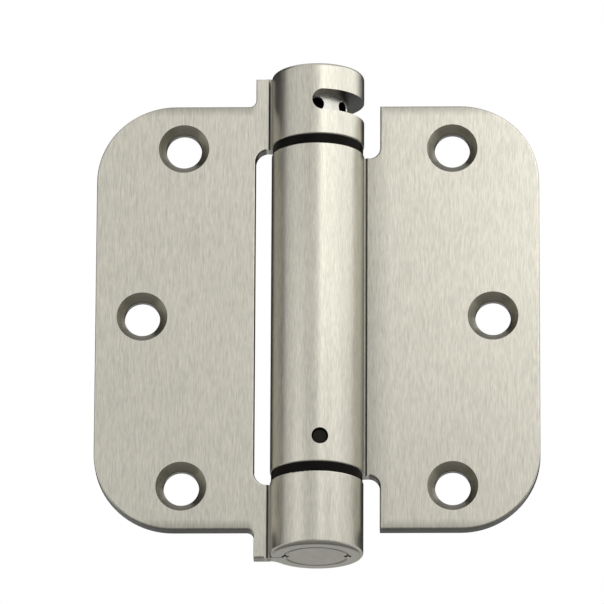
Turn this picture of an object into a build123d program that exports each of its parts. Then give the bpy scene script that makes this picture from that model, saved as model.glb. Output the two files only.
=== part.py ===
from build123d import *
from math import asin, cos, degrees, radians, sin, sqrt
import os

os.makedirs("parts", exist_ok=True)

# Spring loaded door hinge, 88.9 mm tall and 88.9 mm wide when it lies open.
# Millimetres. The origin is on the hinge axis at mid height, +Z runs up the axis,
# +X points to the door leaf and -Y faces the countersunk side.

# Leaves
leaf_height = 88.9
leaf_reach = 44.45
leaf_thickness = 3.12
leaf_set_back = 0.8
corner_radius = 15.875
edge_round = 0.35

# Screw holes, three in each leaf
screw_throat_radius = 3.55
screw_head_radius = 5.08
screw_head_angle = 82
screw_spread = 70.9
screw_pair_x = 27.0
screw_middle_x = 35.1

# Knuckles, rolled from the leaves
bore_radius = 6.18
barrel_overhang = 5.85
end_knuckle_length = 15.1
knuckle_clearance = 3.2
swage_radius = 3.0
seam_width = 0.25
seam_groove_radius = 0.5
knuckle_edge = 0.3
barrel_end_round = 0.8
bore_mouth = 0.4
frame_notch_radius = 2.6
door_notch_radius = 2.3
strip_notch_radius = 1.4

# Fits
end_play = 0.05
running_clearance = 0.05
seat_clearance = 0.02

# Bearings between the knuckles
bearing_flange = 1.75
bearing_flange_radius = 9.1
bearing_sleeve_length = 2.9
bearing_lead_in = 0.35

# Tension window and collar in the top knuckle
window_rise = 5.15
window_height = 4.4
window_from = -6
window_to = 150
tension_holes = 6
tension_hole_radius = 1.35
tension_hole_depth = 3.2
tension_hole_edge = 0.2
tension_hole_from = -2
collar_gap = 0.3
collar_edge = 0.4

# Journals and the slotted tips that hold the spring
journal_radius = 4.2
tip_radius = 3.5
tip_length = 3.4
slot_clearance = 0.1

# Spring
wire_radius = 1.1
coil_radius = 4.78
coil_gap = 0.2
tang_reach = 3.1
bend_swell = 0.02

# Anchor pin in the centre knuckle
pin_radius = 1.6
pin_clearance = 0.07
pin_rise = 5.3
pin_angle = 5
pin_recess = 0.6
pin_length = 13.4
anchor_length = 6.6

# Plugs in the ends of the barrel
cap_length = 4.0
plug_edge = 0.25
stake_radius = 0.75
stake_depth = 0.5

# Places that follow from the sizes
knuckle_radius = bore_radius + leaf_thickness
inner_edge = knuckle_radius + knuckle_clearance
leaf_back = leaf_set_back + leaf_thickness
barrel_end = leaf_height / 2 + barrel_overhang
inner_end = barrel_end - end_knuckle_length
flange_start = inner_end - end_play - bearing_flange
centre_end = flange_start - end_play
swage_end = sqrt((knuckle_radius + swage_radius) ** 2 - (leaf_back + swage_radius) ** 2)
strap_end = swage_end + seam_width
fixed_radius = bore_radius - seat_clearance
sleeve_end = centre_end - bearing_sleeve_length
window_middle = inner_end + window_rise + window_height / 2
cap_start = barrel_end - cap_length
collar_top = cap_start - collar_gap
collar_bottom = inner_end
tension_hole_wall = collar_top - collar_edge - window_middle - tension_hole_radius
journal_end = sleeve_end - collar_gap
pin_z = pin_rise - centre_end
anchor_bottom = collar_gap - sleeve_end
anchor_top = anchor_bottom + anchor_length
slot_width = 2 * (wire_radius + slot_clearance)
coil_top = journal_end - tip_length + wire_radius + slot_clearance
coil_bottom = anchor_top + tip_length - wire_radius - slot_clearance
spring_turns = int((coil_top - coil_bottom) / (2 * wire_radius + coil_gap))
tang_turn = 360 * spring_turns

leaf_plane = Plane(origin=(0, leaf_back, 0), x_dir=(1, 0, 0), z_dir=(0, -1, 0))
screw_plane = Plane(origin=(0, leaf_set_back, 0), x_dir=(1, 0, 0), z_dir=(0, -1, 0))


def radial_plane(angle, z):
    """Plane on the hinge axis that faces outward, turned from the front towards +X."""
    a = radians(angle)
    return Plane(origin=(0, 0, z), x_dir=(cos(a), sin(a), 0), z_dir=(sin(a), -cos(a), 0))


def axial_plane(angle):
    """Plane that holds the hinge axis and reaches outward at the given angle."""
    a = radians(angle)
    return Plane(origin=(0, 0, 0), x_dir=(sin(a), -cos(a), 0), z_dir=(-cos(a), -sin(a), 0))


def corners_at(sketch, x, z):
    """Corners of a leaf outline at one distance from the axis, above and below the middle."""
    return sketch.vertices().filter_by(
        lambda v: abs(v.X - x) < 0.001 and abs(abs(v.Y) - z) < 0.001
    )


def rolled_section(section, side):
    """Knuckle seen along the axis: the ring, its strap, the bend behind it and the seam."""
    Circle(knuckle_radius)
    with Locations((side * strap_end / 2, leaf_set_back + leaf_thickness / 2)):
        Rectangle(strap_end, leaf_thickness)
    bend = section.vertices().filter_by(
        lambda v: abs(v.Y - leaf_back) < 0.001 and bore_radius < side * v.X < knuckle_radius
    )
    fillet(bend, swage_radius)
    Circle(bore_radius, mode=Mode.SUBTRACT)
    with Locations((side * knuckle_radius, leaf_set_back)):
        Rectangle(2 * leaf_thickness, seam_width, align=(Align.CENTER, Align.MAX), mode=Mode.SUBTRACT)


def rim_edges(part, z):
    """Outer edge of a knuckle at one height."""
    return part.edges().filter_by(GeomType.CIRCLE).filter_by(
        lambda e: abs(e.radius - knuckle_radius) < 0.001 and abs(e.center().Z - z) < 0.001
    )


def leaf_rim(part, side):
    """Front and back edges round the free outline of a leaf."""
    return part.edges().filter_by(
        lambda e: side * e.center().X > knuckle_radius + 0.01
        and (abs(e.center().Y - leaf_set_back) < 0.001 or abs(e.center().Y - leaf_back) < 0.001)
    )


def screw_places(side):
    return [
        (side * screw_pair_x, screw_spread / 2),
        (side * screw_middle_x, 0),
        (side * screw_pair_x, -screw_spread / 2),
    ]


def seam_groove(side):
    """Groove where the roll closes on the front of its own leaf."""
    with Locations((side * (knuckle_radius + seam_groove_radius / 2), leaf_set_back - seam_width)):
        Circle(seam_groove_radius)


def stake_marks():
    """Two punch marks on the rim of the bore, where the roll is closed over its plug."""
    with Locations((-bore_radius, 0), (bore_radius, 0)):
        Circle(stake_radius)


# Centre knuckle of the door leaf
with BuildPart() as centre_knuckle:
    with BuildSketch(Plane.XY.offset(-centre_end)) as centre_section:
        rolled_section(centre_section, 1)
    extrude(amount=2 * centre_end)
    fillet(rim_edges(centre_knuckle, centre_end) + rim_edges(centre_knuckle, -centre_end), knuckle_edge)

# Top knuckle of the frame leaf, with the window over the tension collar
round_end = degrees(asin(window_height / 2 / knuckle_radius))
with BuildPart() as top_knuckle:
    with BuildSketch(Plane.XY.offset(inner_end)) as top_section:
        rolled_section(top_section, -1)
    extrude(amount=end_knuckle_length)
    fillet(rim_edges(top_knuckle, inner_end), knuckle_edge)
    fillet(rim_edges(top_knuckle, barrel_end), barrel_end_round)
    with Locations((0, 0, barrel_end)):
        Cone(
            bottom_radius=bore_radius, top_radius=bore_radius + bore_mouth, height=bore_mouth,
            align=(Align.CENTER, Align.CENTER, Align.MAX), mode=Mode.SUBTRACT,
        )
    with BuildSketch(axial_plane(window_from + round_end)):
        with Locations((knuckle_radius, window_middle)):
            Rectangle(3 * leaf_thickness, window_height)
    revolve(
        axis=Axis.Z,
        revolution_arc=window_to - window_from - 2 * round_end,
        mode=Mode.SUBTRACT,
    )
    with BuildSketch(
        radial_plane(window_from + round_end, window_middle),
        radial_plane(window_to - round_end, window_middle),
    ):
        Circle(window_height / 2)
    extrude(amount=knuckle_radius + leaf_thickness, mode=Mode.SUBTRACT)
    with BuildSketch(Plane.XY.offset(barrel_end)):
        stake_marks()
    extrude(amount=-stake_depth, mode=Mode.SUBTRACT)

# Bottom knuckle of the frame leaf
with BuildPart() as bottom_knuckle:
    with BuildSketch(Plane.XY.offset(-barrel_end)) as bottom_section:
        rolled_section(bottom_section, -1)
    extrude(amount=end_knuckle_length)
    fillet(rim_edges(bottom_knuckle, -inner_end), knuckle_edge)
    fillet(rim_edges(bottom_knuckle, -barrel_end), barrel_end_round)
    with Locations((0, 0, -barrel_end)):
        Cone(
            bottom_radius=bore_radius + bore_mouth, top_radius=bore_radius, height=bore_mouth,
            align=(Align.CENTER, Align.CENTER, Align.MIN), mode=Mode.SUBTRACT,
        )
    with BuildSketch(Plane.XY.offset(-barrel_end)):
        stake_marks()
    extrude(amount=stake_depth, mode=Mode.SUBTRACT)

# Frame leaf: plate, two straps that run past its ends, and the end knuckles
with BuildPart() as frame_leaf:
    with BuildSketch(leaf_plane) as frame_outline:
        with Locations((-leaf_reach, 0)):
            Rectangle(leaf_reach - inner_edge, leaf_height, align=(Align.MIN, Align.CENTER))
        fillet(corners_at(frame_outline, -leaf_reach, leaf_height / 2), corner_radius)
        with Locations((-inner_edge, inner_end)):
            Rectangle(knuckle_clearance, end_knuckle_length, align=Align.MIN)
        with Locations((-inner_edge, -barrel_end)):
            Rectangle(knuckle_clearance, end_knuckle_length, align=Align.MIN)
        fillet(corners_at(frame_outline, -inner_edge, inner_end), frame_notch_radius)
        fillet(corners_at(frame_outline, -inner_edge, leaf_height / 2), strip_notch_radius)
    extrude(amount=leaf_thickness)
    fillet(leaf_rim(frame_leaf, -1), edge_round)
    add(top_knuckle.part)
    add(bottom_knuckle.part)
    with BuildSketch(Plane.XY.offset(inner_end), Plane.XY.offset(-barrel_end)):
        seam_groove(-1)
    extrude(amount=end_knuckle_length, mode=Mode.SUBTRACT)
    with Locations(screw_plane):
        with Locations(*screw_places(-1)):
            CounterSinkHole(
                screw_throat_radius, screw_head_radius, depth=2 * leaf_thickness,
                counter_sink_angle=screw_head_angle,
            )
frame_leaf.part.label = "frame_leaf"
export_step(frame_leaf.part, "parts/frame_leaf.step")

# Door leaf: plate, one strap and the centre knuckle with its anchor pin hole
with BuildPart() as door_leaf:
    with BuildSketch(leaf_plane) as door_outline:
        with Locations((leaf_reach, 0)):
            Rectangle(leaf_reach - inner_edge, leaf_height, align=(Align.MAX, Align.CENTER))
        fillet(corners_at(door_outline, leaf_reach, leaf_height / 2), corner_radius)
        with Locations((inner_edge, 0)):
            Rectangle(knuckle_clearance, 2 * centre_end, align=(Align.MAX, Align.CENTER))
        fillet(corners_at(door_outline, inner_edge, centre_end), door_notch_radius)
    extrude(amount=leaf_thickness)
    fillet(leaf_rim(door_leaf, 1), edge_round)
    add(centre_knuckle.part)
    with BuildSketch(Plane.XY.offset(-centre_end)):
        seam_groove(1)
    extrude(amount=2 * centre_end, mode=Mode.SUBTRACT)
    with BuildSketch(radial_plane(pin_angle, pin_z)):
        Circle(pin_radius + pin_clearance)
    extrude(amount=knuckle_radius + leaf_thickness, mode=Mode.SUBTRACT)
    with Locations(screw_plane):
        with Locations(*screw_places(1)):
            CounterSinkHole(
                screw_throat_radius, screw_head_radius, depth=2 * leaf_thickness,
                counter_sink_angle=screw_head_angle,
            )
door_leaf.part.label = "door_leaf"
export_step(door_leaf.part, "parts/door_leaf.step")


def bearing_profile(direction):
    """Half section of a flanged bearing, drawn from the axis outward."""
    with Locations((journal_radius + running_clearance, direction * flange_start)):
        Rectangle(
            bearing_flange_radius - journal_radius - running_clearance,
            bearing_flange,
            align=(Align.MIN, Align.MIN if direction > 0 else Align.MAX),
        )
    with Locations((journal_radius + running_clearance, direction * flange_start)):
        Rectangle(
            fixed_radius - journal_radius - running_clearance,
            bearing_sleeve_length + end_play,
            align=(Align.MIN, Align.MAX if direction > 0 else Align.MIN),
        )


# Nylon bearing in the top of the centre knuckle
with BuildPart() as upper_bearing:
    with BuildSketch(Plane.XZ):
        bearing_profile(1)
    revolve(axis=Axis.Z)
    chamfer(upper_bearing.edges().group_by(Axis.Z)[0].sort_by(SortBy.RADIUS)[-1], bearing_lead_in)
upper_bearing.part.label = "upper_bearing"
export_step(upper_bearing.part, "parts/upper_bearing.step")

# Nylon bearing in the bottom of the centre knuckle
with BuildPart() as lower_bearing:
    with BuildSketch(Plane.XZ):
        bearing_profile(-1)
    revolve(axis=Axis.Z)
    chamfer(lower_bearing.edges().group_by(Axis.Z)[-1].sort_by(SortBy.RADIUS)[-1], bearing_lead_in)
lower_bearing.part.label = "lower_bearing"
export_step(lower_bearing.part, "parts/lower_bearing.step")

# Tension collar: drilled body behind the window, journal, and slotted tip for the spring
with BuildPart() as tension_collar:
    with BuildSketch(Plane.XY.offset(collar_bottom)):
        Circle(bore_radius - running_clearance)
    extrude(amount=collar_top - collar_bottom)
    chamfer(
        tension_collar.edges().group_by(Axis.Z)[0] + tension_collar.edges().group_by(Axis.Z)[-1],
        collar_edge,
    )
    with BuildSketch(Plane.XY.offset(collar_bottom)):
        Circle(journal_radius)
    extrude(amount=journal_end - collar_bottom)
    with BuildSketch(Plane.XY.offset(journal_end)):
        Circle(tip_radius)
    extrude(amount=-tip_length)
    with BuildSketch(Plane.XY.offset(journal_end - tip_length)):
        Rectangle(3 * tip_radius, slot_width, rotation=tang_turn)
    extrude(amount=tip_length, mode=Mode.SUBTRACT)
    for hole in range(tension_holes):
        angle = tension_hole_from + hole * 360 / tension_holes
        with BuildSketch(
            radial_plane(angle, window_middle).offset(bore_radius - running_clearance)
        ):
            Circle(tension_hole_radius)
        extrude(amount=-tension_hole_depth, mode=Mode.SUBTRACT)
    collar_surface = tension_collar.faces().filter_by(GeomType.CYLINDER).sort_by(Face.area)[-1]
    chamfer(
        collar_surface.inner_wires().edges(),
        min(tension_hole_edge, tension_hole_wall / 2),
    )
tension_collar.part.label = "tension_collar"
export_step(tension_collar.part, "parts/tension_collar.step")

# Spring anchor: plug in the centre knuckle, held by the pin, with a slotted tip
with BuildPart() as spring_anchor:
    with BuildSketch(Plane.XY.offset(anchor_bottom)):
        Circle(fixed_radius)
    extrude(amount=anchor_length)
    chamfer(
        spring_anchor.edges().group_by(Axis.Z)[0] + spring_anchor.edges().group_by(Axis.Z)[-1],
        collar_edge,
    )
    with BuildSketch(Plane.XY.offset(anchor_top)):
        Circle(tip_radius)
    extrude(amount=tip_length)
    with BuildSketch(Plane.XY.offset(anchor_top)):
        Rectangle(3 * tip_radius, slot_width)
    extrude(amount=tip_length, mode=Mode.SUBTRACT)
    with BuildSketch(radial_plane(pin_angle, pin_z).offset(knuckle_radius - pin_recess)):
        Circle(pin_radius + seat_clearance)
    extrude(amount=-pin_length - seat_clearance, mode=Mode.SUBTRACT)
spring_anchor.part.label = "spring_anchor"
export_step(spring_anchor.part, "parts/spring_anchor.step")

# Anchor pin, set a little below the outside of the centre knuckle
with BuildPart() as anchor_pin:
    with BuildSketch(radial_plane(pin_angle, pin_z).offset(knuckle_radius - pin_recess)):
        Circle(pin_radius)
    extrude(amount=-pin_length)
    chamfer(anchor_pin.edges().filter_by(GeomType.CIRCLE), plug_edge)
anchor_pin.part.label = "anchor_pin"
export_step(anchor_pin.part, "parts/anchor_pin.step")

# Torsion spring: close coils with an end bent across each tip
with BuildPart() as torsion_spring:
    with BuildLine() as coil:
        Helix(
            pitch=(coil_top - coil_bottom) / spring_turns,
            height=coil_top - coil_bottom,
            radius=coil_radius,
            center=(0, 0, coil_bottom),
        )
    with BuildSketch(Plane(origin=coil.line @ 0, z_dir=coil.line % 0)):
        Circle(wire_radius)
    sweep(path=coil.line, is_frenet=True)
    for turn, height in ((0, coil_bottom), (radians(tang_turn), coil_top)):
        outward = Vector(cos(turn), sin(turn), 0)
        corner = outward * coil_radius + Vector(0, 0, height)
        with Locations(corner):
            Sphere(wire_radius + bend_swell)
        with BuildSketch(Plane(origin=corner, z_dir=-outward)):
            Circle(wire_radius)
        extrude(amount=coil_radius + tang_reach)
torsion_spring.part.label = "torsion_spring"
export_step(torsion_spring.part, "parts/torsion_spring.step")

# Bottom pivot: plug in the bottom knuckle with a stub up into the lower bearing
with BuildPart() as bottom_pivot:
    with BuildSketch(Plane.XY.offset(-barrel_end)):
        Circle(fixed_radius)
    extrude(amount=end_knuckle_length)
    chamfer(
        bottom_pivot.edges().group_by(Axis.Z)[0] + bottom_pivot.edges().group_by(Axis.Z)[-1],
        plug_edge,
    )
    with BuildSketch(Plane.XY.offset(-inner_end)):
        Circle(journal_radius)
    extrude(amount=inner_end - sleeve_end)
    chamfer(bottom_pivot.edges().group_by(Axis.Z)[-1], plug_edge)
    with BuildSketch(Plane.XY.offset(-barrel_end)):
        stake_marks()
    extrude(amount=stake_depth, mode=Mode.SUBTRACT)
bottom_pivot.part.label = "bottom_pivot"
export_step(bottom_pivot.part, "parts/bottom_pivot.step")

# Top cap: plug that closes the top knuckle
with BuildPart() as top_cap:
    with BuildSketch(Plane.XY.offset(cap_start)):
        Circle(fixed_radius)
    extrude(amount=cap_length)
    chamfer(
        top_cap.edges().group_by(Axis.Z)[0] + top_cap.edges().group_by(Axis.Z)[-1],
        plug_edge,
    )
    with BuildSketch(Plane.XY.offset(barrel_end)):
        stake_marks()
    extrude(amount=-stake_depth, mode=Mode.SUBTRACT)
top_cap.part.label = "top_cap"
export_step(top_cap.part, "parts/top_cap.step")
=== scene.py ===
import math

import bpy
from mathutils import Matrix, Vector


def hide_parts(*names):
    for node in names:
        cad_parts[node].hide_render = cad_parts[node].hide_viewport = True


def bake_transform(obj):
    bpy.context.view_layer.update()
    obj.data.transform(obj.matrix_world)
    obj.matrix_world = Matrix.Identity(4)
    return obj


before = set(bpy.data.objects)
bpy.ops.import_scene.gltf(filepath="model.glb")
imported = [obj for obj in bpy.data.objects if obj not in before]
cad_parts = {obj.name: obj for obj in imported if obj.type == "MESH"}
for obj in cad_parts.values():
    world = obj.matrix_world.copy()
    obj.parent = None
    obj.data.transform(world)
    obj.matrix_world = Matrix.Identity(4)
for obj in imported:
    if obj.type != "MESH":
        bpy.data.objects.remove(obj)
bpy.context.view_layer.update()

# The camera looks up at the hinge from below its middle.
PICTURE = 604
CAMERA_DISTANCE = 1.6
CAMERA_ELEVATION = math.radians(-18.1)
CAMERA_AZIMUTH = math.radians(1.4)
CAMERA_ROLL = math.radians(0.263)
FOCAL_PIXELS = 8002
SENSOR_WIDTH = 36
AIM = Vector((-0.00308, 0.0, 0.00269))

# Screw holes: the outer pair, the middle one, and the rims of the countersink
# and its throat, each as the radii between which one finish gives way to the next.
PAIR_X = 0.027
PAIR_Z = 0.03545
MIDDLE_X = 0.0351
SUNK_RIM = (0.00500, 0.00512)
THROAT_RIM = (0.00356, 0.00366)

# Places on the leaves and knuckles, measured from the hinge axis and mid height.
LEAF_FROM_X = (0.0124, 0.0134)
LEAF_END_Z = (0.0423, 0.0444)
BARREL_SIDE_X = 0.00932
BESIDE_BARREL_X = (0.0094, 0.0148)
CREASE_INNER_X = (0.0086, 0.0092)
CREASE_OUTER_X = (0.0098, 0.0102)
CUT_FROM_X = (0.0101, 0.0106)
BARREL_END_Z = (0.0495, 0.0500)
FACED_FROM_Z = 0.0493

# The window's faces lie under the barrel's skin and between these heights.
SKIN_RADIUS = 0.00925
WINDOW_Z = (0.0402, 0.0449)
PLATED_X = (0.001, 0.005)

COLLAR_SKIN = 0.0059
FLOOR_HEIGHT = -0.75
FLOOR_SIZE = 8


def make_camera():
    data = bpy.data.cameras.new("camera")
    data.sensor_width = SENSOR_WIDTH
    data.lens = FOCAL_PIXELS / PICTURE * data.sensor_width
    data.clip_start = 0.01
    data.clip_end = 50
    camera = bpy.data.objects.new("camera", data)
    bpy.context.collection.objects.link(camera)
    flat = math.cos(CAMERA_ELEVATION)
    back = Vector((
        math.sin(CAMERA_AZIMUTH) * flat,
        -math.cos(CAMERA_AZIMUTH) * flat,
        math.sin(CAMERA_ELEVATION),
    ))
    turn = (-back).to_track_quat("-Z", "Y").to_matrix().to_4x4()
    place = Matrix.Translation(AIM + back * CAMERA_DISTANCE)
    camera.matrix_world = place @ turn @ Matrix.Rotation(CAMERA_ROLL, 4, "Z")
    bpy.context.scene.camera = camera


class Nodes:
    """A material's node tree, with short calls to add and join nodes."""

    def __init__(self, name):
        self.material = bpy.data.materials.new(name)
        self.material.use_nodes = True
        self.tree = self.material.node_tree
        self.shader = self.tree.nodes["Principled BSDF"]

    def add(self, kind, **settings):
        node = self.tree.nodes.new(kind)
        for key, value in settings.items():
            if key in node.inputs:
                node.inputs[key].default_value = value
            else:
                setattr(node, key, value)
        return node

    def join(self, source, target):
        """Links a socket to a target, or sets the target to a plain number."""
        if isinstance(source, (int, float)):
            target.default_value = source
        else:
            self.tree.links.new(source, target)

    def feed(self, name, source):
        self.join(source, self.shader.inputs[name])

    def noise(self, coords, scale, detail=2.0, roughness=0.5):
        node = self.add("ShaderNodeTexNoise", Scale=scale, Detail=detail, Roughness=roughness)
        self.join(coords, node.inputs["Vector"])
        return node.outputs["Fac"]

    def stretch(self, coords, scale):
        node = self.add("ShaderNodeMapping")
        node.inputs["Scale"].default_value = scale
        self.join(coords, node.inputs["Vector"])
        return node.outputs["Vector"]

    def span(self, value, ends, to_low, to_high):
        """The value carried from between two ends to another range, held outside them."""
        node = self.add("ShaderNodeMapRange")
        numbers = (*ends, to_low, to_high)
        for key, number in zip(("From Min", "From Max", "To Min", "To Max"), numbers):
            node.inputs[key].default_value = number
        self.join(value, node.inputs["Value"])
        return node.outputs["Result"]

    def math(self, operation, a, b=0):
        node = self.add("ShaderNodeMath", operation=operation)
        self.join(a, node.inputs[0])
        self.join(b, node.inputs[1])
        return node.outputs[0]

    def product(self, first, *rest):
        for value in rest:
            first = self.math("MULTIPLY", first, value)
        return first

    def largest(self, first, *rest):
        for value in rest:
            first = self.math("MAXIMUM", first, value)
        return first

    def length(self, a, b):
        squares = self.math("ADD", self.product(a, a), self.product(b, b))
        return self.math("SQRT", squares)

    def tones(self, value, low, high, ends=(0.3, 0.7)):
        """From one colour to another as the value goes from end to end."""
        node = self.add("ShaderNodeValToRGB")
        for element, place, colour in zip(node.color_ramp.elements, ends, (low, high)):
            element.position = place
            element.color = (*colour, 1)
        self.join(value, node.inputs["Fac"])
        return node.outputs["Color"]

    def split(self, vector):
        node = self.add("ShaderNodeSeparateXYZ")
        self.join(vector, node.inputs[0])
        return node.outputs

    def along_x(self, value):
        node = self.add("ShaderNodeCombineXYZ")
        self.join(value, node.inputs["X"])
        return node.outputs[0]

    def mix(self, share, a, b):
        node = self.add("ShaderNodeMix", data_type="RGBA")
        self.join(share, node.inputs["Factor"])
        self.join(a, node.inputs["A"])
        self.join(b, node.inputs["B"])
        return node.outputs["Result"]

    def brushed_upright(self, amount):
        """Gloss drawn out level, across an upright brush grain."""
        normal = self.add("ShaderNodeNewGeometry").outputs["Normal"]
        level = self.add("ShaderNodeVectorMath", operation="CROSS_PRODUCT")
        level.inputs[0].default_value = (0.01, 0, 1)
        self.join(normal, level.inputs[1])
        self.feed("Tangent", level.outputs[0])
        self.feed("Anisotropic", amount)

    def bump(self, height, strength, distance):
        node = self.add("ShaderNodeBump", Strength=strength, Distance=distance)
        self.join(height, node.inputs["Height"])
        self.feed("Normal", node.outputs["Normal"])


def shade(grey, warm=1.0):
    """A grey, or the warm grey of nickel at warm 1."""
    return (grey, grey * (1 - 0.033 * warm), grey * (1 - 0.166 * warm))


def satin_nickel():
    """Plated steel with an upright brush grain, bare in the turned countersinks, with painted shade on
    cut edges, in the hollows and along the leaf's ends.
    """
    m = Nodes("satin_nickel")
    texture = m.add("ShaderNodeTexCoord")
    place = texture.outputs["Object"]
    spot = m.split(place)
    face = m.split(texture.outputs["Normal"])
    across = m.math("ABSOLUTE", spot["X"])
    up = m.math("ABSOLUTE", spot["Z"])
    front = m.math("LESS_THAN", face["Y"], 0.5)

    # Brush grain
    grain = m.noise(m.stretch(place, (5400, 5400, 480)), 1.0, 2.0, 0.6)
    streak = m.noise(m.stretch(place, (2600, 2600, 160)), 1.0, 3.0, 0.6)
    cloud = m.noise(place, 45.0, 3.0, 0.55)
    tone = m.math("ADD", m.product(grain, 0.65), m.product(streak, 0.25))
    tone = m.math("ADD", tone, m.product(cloud, 0.1))
    brushed = m.tones(tone, shade(0.38), shade(0.56), (0.32, 0.68))

    # Turned countersinks, with painted shade in the throat and on the side that faces up
    pair = m.length(m.math("SUBTRACT", across, PAIR_X), m.math("SUBTRACT", up, PAIR_Z))
    middle = m.length(m.math("SUBTRACT", across, MIDDLE_X), up)
    from_hole = m.math("MINIMUM", pair, middle)
    sunk = m.product(m.span(from_hole, SUNK_RIM, 1, 0), front)
    unsunk = m.math("SUBTRACT", 1, sunk)
    rings = m.noise(m.along_x(m.product(from_hole, 9000)), 1.0, 2.0, 0.6)
    turned = m.tones(rings, shade(0.26, 1.4), shade(0.52, 1.4), (0.35, 0.65))
    painted_hole_shade = m.largest(m.span(from_hole, THROAT_RIM, 1, 0), m.span(face["Z"], (0.1, 0.7), 0, 0.62))
    turned = m.mix(painted_hole_shade, turned, m.tones(cloud, shade(0.05), shade(0.10)))

    # Painted shade where the leaf rolls over at its ends, beside the barrel, in the crease and
    # on the barrel's faced ends
    rolled = m.product(m.span(across, LEAF_FROM_X, 0, 1), m.span(up, LEAF_END_Z, 0, 0.42))
    beside = m.product(
        m.math("GREATER_THAN", spot["X"], BARREL_SIDE_X), m.span(spot["X"], BESIDE_BARREL_X, 0.36, 0)
    )
    crease = m.product(m.span(across, CREASE_INNER_X, 0, 0.6), m.span(across, CREASE_OUTER_X, 1, 0))
    level = m.span(m.math("ABSOLUTE", face["Z"]), (0.6, 0.9), 0, 0.22)
    faced = m.product(level, m.math("GREATER_THAN", up, FACED_FROM_Z))
    painted_shade = m.product(m.largest(rolled, beside, crease, faced), front)
    brushed = m.mix(painted_shade, brushed, m.tones(cloud, shade(0.01), shade(0.02)))

    # Painted shade on the sheared edges, and on the window's faces apart from the plated one above it
    side_on = m.span(m.math("ABSOLUTE", face["Y"]), (0.15, 0.55), 1, 0)
    edge = m.product(
        side_on, m.span(across, CUT_FROM_X, 0, 1), unsunk, m.span(up, BARREL_END_Z, 1, 0.4)
    )
    plated = m.product(m.math("LESS_THAN", face["Z"], -0.5), m.span(spot["X"], PLATED_X, 1, 0))
    window = m.product(
        m.math("LESS_THAN", m.length(spot["X"], spot["Y"]), SKIN_RADIUS),
        m.math("GREATER_THAN", spot["Z"], WINDOW_Z[0]),
        m.math("LESS_THAN", spot["Z"], WINDOW_Z[1]),
        m.math("SUBTRACT", 1, plated),
    )
    cut = m.largest(edge, window)
    painted_edge_shade = m.tones(cloud, shade(0.02), shade(0.07))

    m.feed("Base Color", m.mix(cut, m.mix(sunk, brushed, turned), painted_edge_shade))
    m.feed("Metallic", 1)
    rough = m.span(streak, (0.3, 0.7), 0.28, 0.36)
    m.feed("Roughness", m.math("ADD", rough, m.product(cut, 0.1)))
    m.brushed_upright(0.25)
    m.bump(m.math("ADD", m.product(grain, unsunk), m.product(rings, sunk)), 0.12, 0.00001)
    return m.material


def plain_metal(name, low, high, rough, scale=(600, 600, 600), warm=1.0, skin=None):
    """Steel with its turned or drawn marks, with painted shade below the skin radius."""
    m = Nodes(name)
    place = m.add("ShaderNodeTexCoord").outputs["Object"]
    marks = m.noise(m.stretch(place, scale), 1.0, 3.0, 0.6)
    colour = m.tones(marks, shade(low, warm), shade(high, warm))
    if skin:
        spot = m.split(place)
        # Painted shade: near black below the skin radius, in the collar's holes and bore
        painted_bore_shade = m.span(m.length(spot["X"], spot["Y"]), (skin - 0.0001, skin), 1, 0)
        colour = m.mix(painted_bore_shade, colour, m.tones(marks, shade(0.01), shade(0.03)))
    m.feed("Base Color", colour)
    m.feed("Metallic", 1)
    m.feed("Roughness", m.span(marks, (0.3, 0.7), *rough))
    m.bump(marks, 0.12, 0.00003)
    return m.material


def black_nylon():
    m = Nodes("black_nylon")
    place = m.add("ShaderNodeTexCoord").outputs["Object"]
    grain = m.noise(place, 5000.0, 3.0, 0.6)
    patch = m.noise(place, 300.0, 2.0, 0.5)
    m.feed("Base Color", m.tones(patch, (0.003, 0.003, 0.0025), (0.007, 0.006, 0.005)))
    m.feed("Roughness", m.span(patch, (0.3, 0.7), 0.35, 0.5))
    m.feed("Specular IOR Level", 0.03)
    m.bump(grain, 0.15, 0.00003)
    return m.material


def dress(material, *nodes):
    for node in nodes:
        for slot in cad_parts[node].material_slots:
            slot.material = material


def wind_spring(material):
    """A copy of the spring's mesh in spring steel, set in place of the CAD spring, which is hidden."""
    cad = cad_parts["torsion_spring"]
    spring = bpy.data.objects.new("wound_spring", cad.data.copy())
    spring.matrix_world = cad.matrix_world
    bpy.context.collection.objects.link(spring)
    spring.data.materials.clear()
    spring.data.materials.append(material)
    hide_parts("torsion_spring")
    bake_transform(spring)


def area_lamp(name, place, aim, size, power):
    data = bpy.data.lights.new(name, "AREA")
    data.shape = "RECTANGLE"
    data.size, data.size_y = size
    data.energy = power
    lamp = bpy.data.objects.new(name, data)
    bpy.context.collection.objects.link(lamp)
    turn = (Vector(aim) - Vector(place)).to_track_quat("-Z", "Y").to_matrix().to_4x4()
    lamp.matrix_world = Matrix.Translation(place) @ turn


def make_world():
    world = bpy.data.worlds.new("studio")
    bpy.context.scene.world = world
    world.use_nodes = True
    background = world.node_tree.nodes["Background"]
    background.inputs["Color"].default_value = (1, 1, 1, 1)
    background.inputs["Strength"].default_value = 1


def matt(name, colour):
    m = Nodes(name)
    m.shader.inputs["Base Color"].default_value = (*colour, 1)
    m.feed("Roughness", 0.9)
    return m.material


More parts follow.
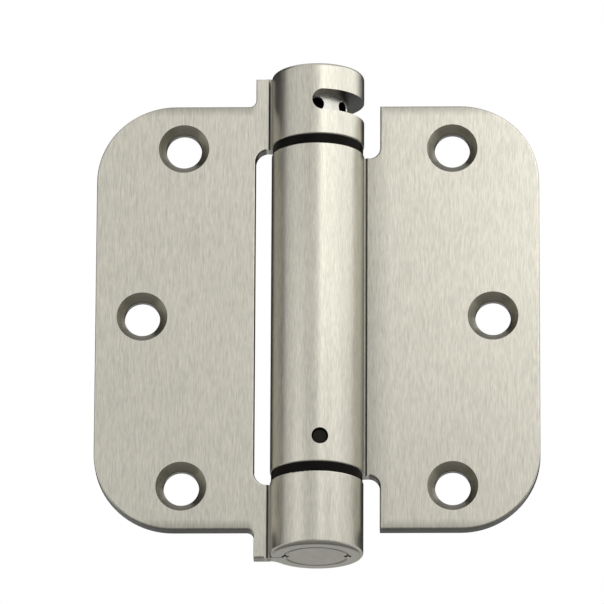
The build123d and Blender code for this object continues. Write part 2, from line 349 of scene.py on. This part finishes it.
def card(name, azimuth, height, distance, size, grey=0.03):
    """A grey card beside the hinge that only its reflections show."""
    bpy.ops.mesh.primitive_plane_add(size=1)
    plane = bpy.context.object
    plane.name = name
    turn = math.radians(azimuth)
    place = Vector((math.sin(turn) * distance, -math.cos(turn) * distance, height))
    plane.matrix_world = (
        Matrix.Translation(place)
        @ place.to_track_quat("Z", "Y").to_matrix().to_4x4()
        @ Matrix.Diagonal((*size, 1, 1))
    )
    plane.data.materials.append(matt(name, (grey, grey, grey)))
    plane.visible_camera = False
    plane.visible_shadow = False
    plane.visible_diffuse = False


def make_floor():
    bpy.ops.mesh.primitive_plane_add(size=FLOOR_SIZE, location=(0, 0, FLOOR_HEIGHT))
    floor = bpy.context.object
    floor.name = "floor"
    floor.data.materials.append(matt("pale_floor", (0.8, 0.8, 0.79)))


make_camera()

turned_marks = (900, 900, 3000)
drawn_marks = (400, 400, 900)
collar_steel = plain_metal(
    "collar_steel", 0.40, 0.48, (0.22, 0.34), turned_marks, warm=0.6, skin=COLLAR_SKIN
)
dress(satin_nickel(), "frame_leaf", "door_leaf")
dress(black_nylon(), "upper_bearing", "lower_bearing")
dress(collar_steel, "tension_collar")
dress(plain_metal("anchor_steel", 0.30, 0.40, (0.35, 0.5)), "spring_anchor")
dress(plain_metal("black_steel", 0.01, 0.02, (0.4, 0.55)), "anchor_pin")
dress(plain_metal("plug_steel", 0.37, 0.45, (0.32, 0.45)), "bottom_pivot", "top_cap")
wind_spring(plain_metal("spring_steel", 0.16, 0.26, (0.3, 0.45), drawn_marks))

make_world()
make_floor()
card("back_card", 180, 0.6, 1.0, (4.2, 1.2))
card("left_card", -108, 0.5, 1.0, (0.8, 1.4))
card("low_card", 0, -0.45, 0.001, (1.6, 1.6), 0.27)
card("fore_card", 0, -0.13, 0.36, (1.0, 0.34), 0.45)
area_lamp("key", (0.234, -0.28, 0.284), (0.234, 0, 0.284), (0.4, 0.4), 0.6)
area_lamp("side", (0.50, 0.05, 0.385), (0, 0.05, 0.385), (0.66, 0.45), 1.0)
area_lamp("fill", (-0.35, -0.36, 0.04), (0, 0, 0.04), (0.22, 0.22), 0.1)
area_lamp("strip", (0.21, -1.0, 0.40), (0, 0, 0.04), (0.025, 0.8), 0.5)
bpy.context.scene.view_settings.view_transform = "Standard"
